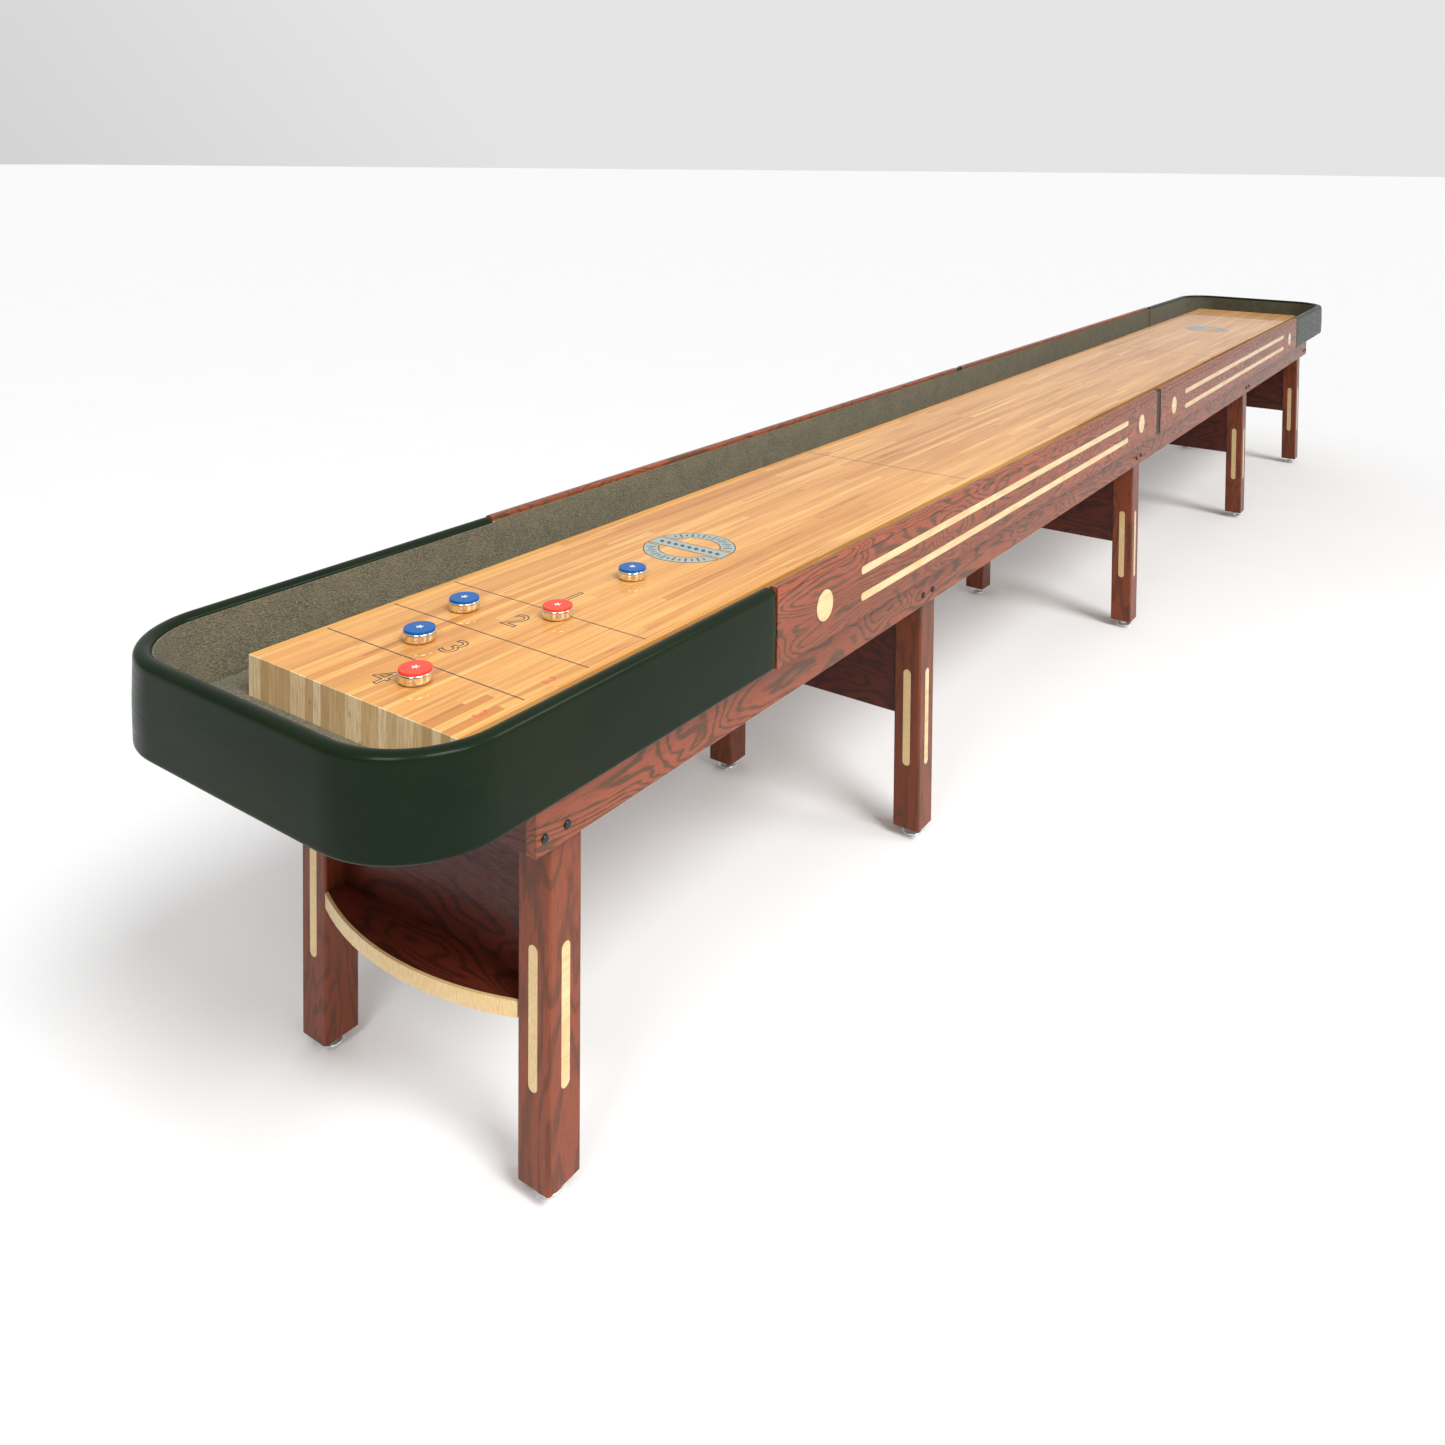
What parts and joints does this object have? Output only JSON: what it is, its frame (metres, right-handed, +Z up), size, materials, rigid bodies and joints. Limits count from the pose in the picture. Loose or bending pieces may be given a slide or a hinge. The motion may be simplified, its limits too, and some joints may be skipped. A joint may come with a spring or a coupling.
{
  "type": "shuffleboard table",
  "caption": "Long bar-style shuffleboard table: lacquered maple board in a carpeted gutter, padded ends, oak sides and legs on levelers.",
  "frame": {"origin": "on the floor under the middle of the table", "axes": "+X along the table from the near end to the far end, +Y across it to the left side, +Z up"},
  "size_m": [6.706, 0.775, 0.858],
  "materials": {
    "maple_board": "clear gloss lacquer over laminated maple",
    "bed_plywood": "unfinished plywood",
    "carpet": "short looped carpet",
    "vinyl": "dark green padded vinyl",
    "oak": "stained oak, satin",
    "oak_dark": "stained oak, satin, dark",
    "oak_leg": "stained oak, satin",
    "maple_inlay": "pale maple, satin",
    "leveler_steel": "plated",
    "insert_steel": "zinc plated",
    "bolt_steel": "black oxide",
    "adjuster_steel": "zinc plated",
    "weight_chrome": "polished",
    "cap_red": "gloss",
    "cap_blue": "gloss"
  },
  "bodies": {
    "table": {"playing_board": "maple_board", "gutter_bed": "bed_plywood", "carpet_lining": "carpet", "side_spacers": "vinyl", "skirt_right": "oak", "side_panel_near_right": "oak", "side_panel_far_right": "oak", "skirt_left": "oak", "side_panel_near_left": "oak", "side_panel_far_left": "oak", "side_inlays": "maple_inlay", "end_rail_core_near": "bed_plywood", "end_rail_pad_near": "vinyl", "end_apron_near": "oak_dark", "shelf_near": "oak_dark", "end_rail_core_far": "bed_plywood", "end_rail_pad_far": "vinyl", "end_apron_far": "oak_dark", "shelf_far": "oak_dark", "shelf_edgings": "maple_inlay", "cross_beams": "oak_dark", "cross_panel_1": "oak_dark", "leg_right_1": "oak_leg", "leg_left_1": "oak_leg", "cross_panel_2": "oak_dark", "leg_right_2": "oak_leg", "leg_left_2": "oak_leg", "cross_panel_3": "oak_dark", "leg_right_3": "oak_leg", "leg_left_3": "oak_leg", "cross_panel_4": "oak_dark", "leg_right_4": "oak_leg", "leg_left_4": "oak_leg", "cross_panel_5": "oak_dark", "leg_right_5": "oak_leg", "leg_left_5": "oak_leg", "leg_inlays": "maple_inlay", "leveler_inserts": "insert_steel", "frame_bolts": "bolt_steel", "board_adjusters": "adjuster_steel"},
    "leveler_right_1": {"leveler_right_1": "leveler_steel"},
    "leveler_left_1": {"leveler_left_1": "leveler_steel"},
    "leveler_right_2": {"leveler_right_2": "leveler_steel"},
    "leveler_left_2": {"leveler_left_2": "leveler_steel"},
    "leveler_right_3": {"leveler_right_3": "leveler_steel"},
    "leveler_left_3": {"leveler_left_3": "leveler_steel"},
    "leveler_right_4": {"leveler_right_4": "leveler_steel"},
    "leveler_left_4": {"leveler_left_4": "leveler_steel"},
    "leveler_right_5": {"leveler_right_5": "leveler_steel"},
    "leveler_left_5": {"leveler_left_5": "leveler_steel"},
    "weight_red_1": {"weight_red_1": "weight_chrome", "weight_cap_red_1": "cap_red"},
    "weight_blue_1": {"weight_blue_1": "weight_chrome", "weight_cap_blue_1": "cap_blue"},
    "weight_blue_2": {"weight_blue_2": "weight_chrome", "weight_cap_blue_2": "cap_blue"},
    "weight_red_2": {"weight_red_2": "weight_chrome", "weight_cap_red_2": "cap_red"},
    "weight_blue_3": {"weight_blue_3": "weight_chrome", "weight_cap_blue_3": "cap_blue"}
  },
  "joints": [
    {"name": "leveler_travel_right_1", "type": "slide", "parent": "table", "child": "leveler_right_1", "axis": [0, 0, 1], "range_m": [-0.02, 0.01]},
    {"name": "leveler_travel_left_1", "type": "slide", "parent": "table", "child": "leveler_left_1", "axis": [0, 0, 1], "range_m": [-0.02, 0.01]},
    {"name": "leveler_travel_right_2", "type": "slide", "parent": "table", "child": "leveler_right_2", "axis": [0, 0, 1], "range_m": [-0.02, 0.01]},
    {"name": "leveler_travel_left_2", "type": "slide", "parent": "table", "child": "leveler_left_2", "axis": [0, 0, 1], "range_m": [-0.02, 0.01]},
    {"name": "leveler_travel_right_3", "type": "slide", "parent": "table", "child": "leveler_right_3", "axis": [0, 0, 1], "range_m": [-0.02, 0.01]},
    {"name": "leveler_travel_left_3", "type": "slide", "parent": "table", "child": "leveler_left_3", "axis": [0, 0, 1], "range_m": [-0.02, 0.01]},
    {"name": "leveler_travel_right_4", "type": "slide", "parent": "table", "child": "leveler_right_4", "axis": [0, 0, 1], "range_m": [-0.02, 0.01]},
    {"name": "leveler_travel_left_4", "type": "slide", "parent": "table", "child": "leveler_left_4", "axis": [0, 0, 1], "range_m": [-0.02, 0.01]},
    {"name": "leveler_travel_right_5", "type": "slide", "parent": "table", "child": "leveler_right_5", "axis": [0, 0, 1], "range_m": [-0.02, 0.01]},
    {"name": "leveler_travel_left_5", "type": "slide", "parent": "table", "child": "leveler_left_5", "axis": [0, 0, 1], "range_m": [-0.02, 0.01]},
    {"name": "weight_slide_red_1", "type": "slide", "parent": "table", "child": "weight_red_1", "axis": [1, 0, 0], "range_m": [-0.069, 0.11]},
    {"name": "weight_slide_blue_1", "type": "slide", "parent": "table", "child": "weight_blue_1", "axis": [1, 0, 0], "range_m": [-0.188, 0.021]},
    {"name": "weight_slide_blue_2", "type": "slide", "parent": "table", "child": "weight_blue_2", "axis": [1, 0, 0], "range_m": [-0.064, 5.896]},
    {"name": "weight_slide_red_2", "type": "slide", "parent": "table", "child": "weight_red_2", "axis": [1, 0, 0], "range_m": [-0.17, 0.11]},
    {"name": "weight_slide_blue_3", "type": "slide", "parent": "table", "child": "weight_blue_3", "axis": [1, 0, 0], "range_m": [-0.073, 5.572]}
  ]
}
